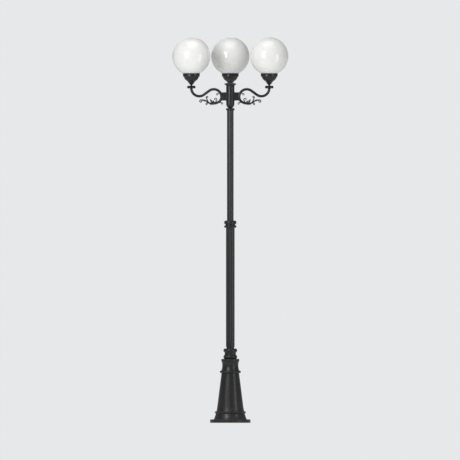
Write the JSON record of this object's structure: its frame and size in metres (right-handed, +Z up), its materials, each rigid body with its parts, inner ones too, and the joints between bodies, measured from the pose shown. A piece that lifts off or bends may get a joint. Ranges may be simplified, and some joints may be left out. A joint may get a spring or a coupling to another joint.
{
  "type": "globe lamp post",
  "caption": "Tall garden lamp post: round cast foot, tapered skirt, stepped fluted pole, scrolled arms on a hub, opal ball globes on twist locks, rear service door.",
  "frame": {"origin": "on the pole's axis, at ground level, in the underside of the ground plate", "axes": "+Z up along the pole, +X to the right-hand arm seen from the front, +Y to the rear arm and door"},
  "size_m": [0.914, 0.6164, 3.04],
  "materials": {
    "cast_iron": "satin black paint over cast iron",
    "painted_cast": "satin black paint over cast aluminium",
    "painted_steel": "satin black paint",
    "galvanised_steel": "hot-dip galvanised",
    "bright_steel": "stainless",
    "brass_thread": "turned brass",
    "lamp_cap_metal": "bright rolled thread",
    "cable_sheath": "black sheath",
    "holder_black": "moulded, heat resistant",
    "terminal_white": "moulded",
    "bulb_glass": "pearl",
    "opal_globe": "opal, smooth, unlit",
    "gasket_rubber": "moulded rubber"
  },
  "bodies": {
    "post": {"ground_plate": "galvanised_steel", "core_tube": "galvanised_steel", "pole_seat": "galvanised_steel", "foot": "cast_iron", "foot_bead": "cast_iron", "skirt": "cast_iron", "waist_ring": "cast_iron", "neck": "cast_iron", "bead_collar": "cast_iron", "lower_pole": "painted_steel", "pole_bushes": "galvanised_steel", "mid_ring": "painted_cast", "upper_pole": "painted_steel", "top_ring": "painted_cast", "hub": "painted_cast", "hub_cap": "painted_cast", "finial": "painted_cast", "supply_cable": "cable_sheath", "splice_block": "holder_black", "terminal_block": "terminal_white", "terminal_bracket": "galvanised_steel", "hinge_pins": "bright_steel", "set_screws": "bright_steel", "nipples": "brass_thread", "gallery_nuts": "brass_thread", "lamp_caps": "lamp_cap_metal", "lamp_wires": "cable_sheath", "arm_left": "painted_cast", "arm_right": "painted_cast", "arm_rear": "painted_cast", "spray_left": "painted_cast", "spray_right": "painted_cast", "spray_rear": "painted_cast", "calyx_left": "painted_cast", "calyx_right": "painted_cast", "calyx_rear": "painted_cast", "head_stem_left": "painted_cast", "head_stem_right": "painted_cast", "head_stem_rear": "painted_cast", "cup_left": "painted_cast", "cup_right": "painted_cast", "cup_rear": "painted_cast", "gallery_left": "painted_cast", "gallery_right": "painted_cast", "gallery_rear": "painted_cast", "lamp_holder_left": "holder_black", "lamp_holder_right": "holder_black", "lamp_holder_rear": "holder_black", "bulb_left": "bulb_glass", "bulb_right": "bulb_glass", "bulb_rear": "bulb_glass"},
    "door": {"door": "cast_iron"},
    "door_lock": {"door_lock": "bright_steel"},
    "globe_left": {"globe_left": "opal_globe", "gasket_left": "gasket_rubber"},
    "globe_right": {"globe_right": "opal_globe", "gasket_right": "gasket_rubber"},
    "globe_rear": {"globe_rear": "opal_globe", "gasket_rear": "gasket_rubber"}
  },
  "joints": [
    {"name": "globe_left_twist", "type": "hinge", "parent": "post", "child": "globe_left", "pos_m": [-0.307, 0, 2.89], "axis": [0, 0, 1], "range_deg": [0, 40]},
    {"name": "globe_right_twist", "type": "hinge", "parent": "post", "child": "globe_right", "pos_m": [0.307, 0, 2.89], "axis": [0, 0, 1], "range_deg": [0, 40]},
    {"name": "globe_rear_twist", "type": "hinge", "parent": "post", "child": "globe_rear", "pos_m": [0, 0.307, 2.89], "axis": [0, 0, 1], "range_deg": [0, 40]},
    {"name": "door_hinge", "type": "hinge", "parent": "post", "child": "door", "pos_m": [-0.02978, 0.09741, 0.15], "axis": [0.0365, -0.1195, 0.9922], "range_deg": [0, 100]},
    {"name": "door_lock_turn", "type": "hinge", "parent": "door", "child": "door_lock", "pos_m": [0.01365, 0.08619, 0.25], "axis": [0.1552, 0.9799, 0.1249], "range_deg": [0, 90]}
  ]
}
